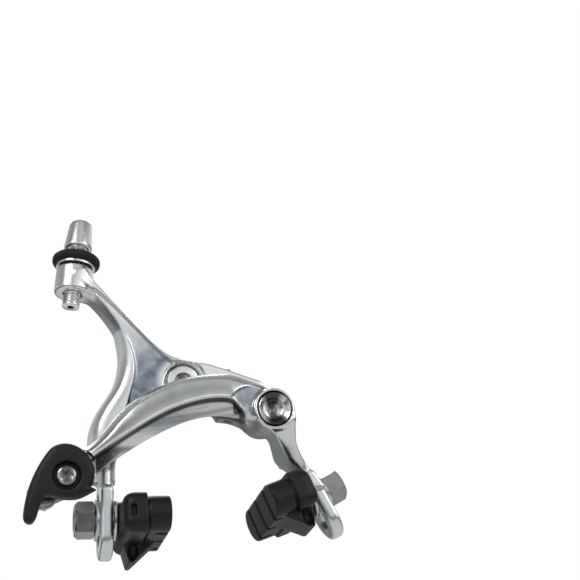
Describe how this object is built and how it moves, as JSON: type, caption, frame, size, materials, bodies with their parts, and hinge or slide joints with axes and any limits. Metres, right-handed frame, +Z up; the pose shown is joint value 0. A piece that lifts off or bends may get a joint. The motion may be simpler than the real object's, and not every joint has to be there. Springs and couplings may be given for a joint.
{
  "type": "rim brake caliper",
  "caption": "Dual-pivot side-pull rim brake caliper for a bicycle, with a barrel adjuster, a quick-release lever and pads that slide and tilt on slotted legs.",
  "frame": {"origin": "on the centre bolt's axis where the star washer's rear face meets the fork", "axes": "+Y along the centre bolt, back into the fork; +Z up; +X to the right seen from the front"},
  "size_m": [0.1025, 0.051, 0.1176],
  "materials": {
    "arm_alloy": "forged and ball-burnished bright alloy, recesses left duller",
    "bright_steel": "turned and polished stainless steel",
    "grey_steel": "plain stainless steel nut finish",
    "zinc_steel": "bright zinc plated pressed steel",
    "spring_steel": "drawn spring wire",
    "satin_alloy": "turned satin alloy",
    "black_plastic": "matte moulded nylon",
    "grip_rubber": "ribbed moulded rubber",
    "pad_rubber": "matte brake compound",
    "bronze": "sintered bronze",
    "anchor_alloy": "tumbled grey alloy"
  },
  "bodies": {
    "bridge": {"centre_bolt": "bright_steel", "star_washer": "zinc_steel", "bridge_plate": "anchor_alloy", "spring_saddle": "black_plastic", "side_pivot_bolt": "bright_steel", "centre_thrust_washer": "zinc_steel", "side_thrust_washer": "zinc_steel", "return_spring": "spring_steel"},
    "y_arm": {"y_arm": "arm_alloy", "centre_bush": "bronze", "centring_screw": "grey_steel", "left_spring_cap": "black_plastic", "adjuster_washer": "satin_alloy", "adjuster_seal": "grip_rubber"},
    "adjuster_nut": {"adjuster_nut": "satin_alloy", "adjuster_grip": "grip_rubber"},
    "adjuster_barrel": {"adjuster_barrel": "satin_alloy"},
    "c_arm": {"c_arm": "arm_alloy", "side_bush": "bronze", "contact_pad": "black_plastic", "right_spring_cap": "black_plastic"},
    "qr_lever": {"qr_lever": "black_plastic", "qr_hub": "satin_alloy", "qr_screw": "bright_steel"},
    "cable_carrier": {"cable_carrier": "anchor_alloy", "cable_clamp_bolt": "grey_steel", "cable_clamp_washer": "zinc_steel", "cable_clamp_nut": "grey_steel"},
    "left_stud_clamp": {"left_outer_washer": "zinc_steel", "left_inner_washer": "zinc_steel", "left_pad_nut": "grey_steel"},
    "left_pad": {"left_brake_pad": "pad_rubber", "left_pad_stud": "grey_steel"},
    "right_stud_clamp": {"right_outer_washer": "zinc_steel", "right_inner_washer": "zinc_steel", "right_pad_nut": "grey_steel"},
    "right_pad": {"right_brake_pad": "pad_rubber", "right_pad_stud": "grey_steel"}
  },
  "joints": [
    {"name": "y_arm_pivot", "type": "hinge", "parent": "bridge", "child": "y_arm", "pos_m": [0, -0.013, 0], "axis": [0, -1, 0], "range_deg": [0, 7], "stiffness_Nm_per_rad": 0.9, "springref_deg": -20.05, "deforming": ["return_spring"]},
    {"name": "c_arm_pivot", "type": "hinge", "parent": "bridge", "child": "c_arm", "pos_m": [0.0248, -0.02, -0.015], "axis": [0, 1, 0], "range_deg": [0, 10]},
    {"name": "adjuster_turn", "type": "hinge", "parent": "y_arm", "child": "adjuster_nut", "pos_m": [-0.0261, -0.01271, 0.04541], "axis": [0.2831, 0.1561, 0.9463], "range_deg": [-1262, 290]},
    {"name": "adjuster_travel", "type": "slide", "parent": "y_arm", "child": "adjuster_barrel", "axis": [0.2831, 0.1561, 0.9463], "range_m": [-0.0008, 0.0035]},
    {"name": "qr_turn", "type": "hinge", "parent": "c_arm", "child": "qr_lever", "pos_m": [-0.0423, -0.028, -0.0247], "axis": [0, 1, 0], "range_deg": [0, 91]},
    {"name": "carrier_lift", "type": "slide", "parent": "c_arm", "child": "cable_carrier", "axis": [0, 0, 1], "range_m": [0, 0.0018]},
    {"name": "left_pad_height", "type": "slide", "parent": "y_arm", "child": "left_stud_clamp", "axis": [0.1736, 0, 0.9848], "range_m": [-0.0052, 0.0048]},
    {"name": "left_pad_tilt", "type": "hinge", "parent": "left_stud_clamp", "child": "left_pad", "pos_m": [-0.0313, -0.013, -0.0377], "axis": [0.9848, 0, -0.1736], "range_deg": [-14, 14]},
    {"name": "right_pad_height", "type": "slide", "parent": "c_arm", "child": "right_stud_clamp", "axis": [-0.309, 0, 0.9511], "range_m": [-0.0077, 0.0023]},
    {"name": "right_pad_tilt", "type": "hinge", "parent": "right_stud_clamp", "child": "right_pad", "pos_m": [0.036, -0.013, -0.043], "axis": [-0.9511, 0, -0.309], "range_deg": [-14, 11]}
  ],
  "couplings": [
    {"joint": "c_arm_pivot", "follows": "y_arm_pivot", "ratio": 1.4078},
    {"joint": "adjuster_turn", "follows": "adjuster_travel", "rad_per_m": -6283.2},
    {"joint": "qr_turn", "follows": "carrier_lift", "rad_per_m": 872.66}
  ]
}
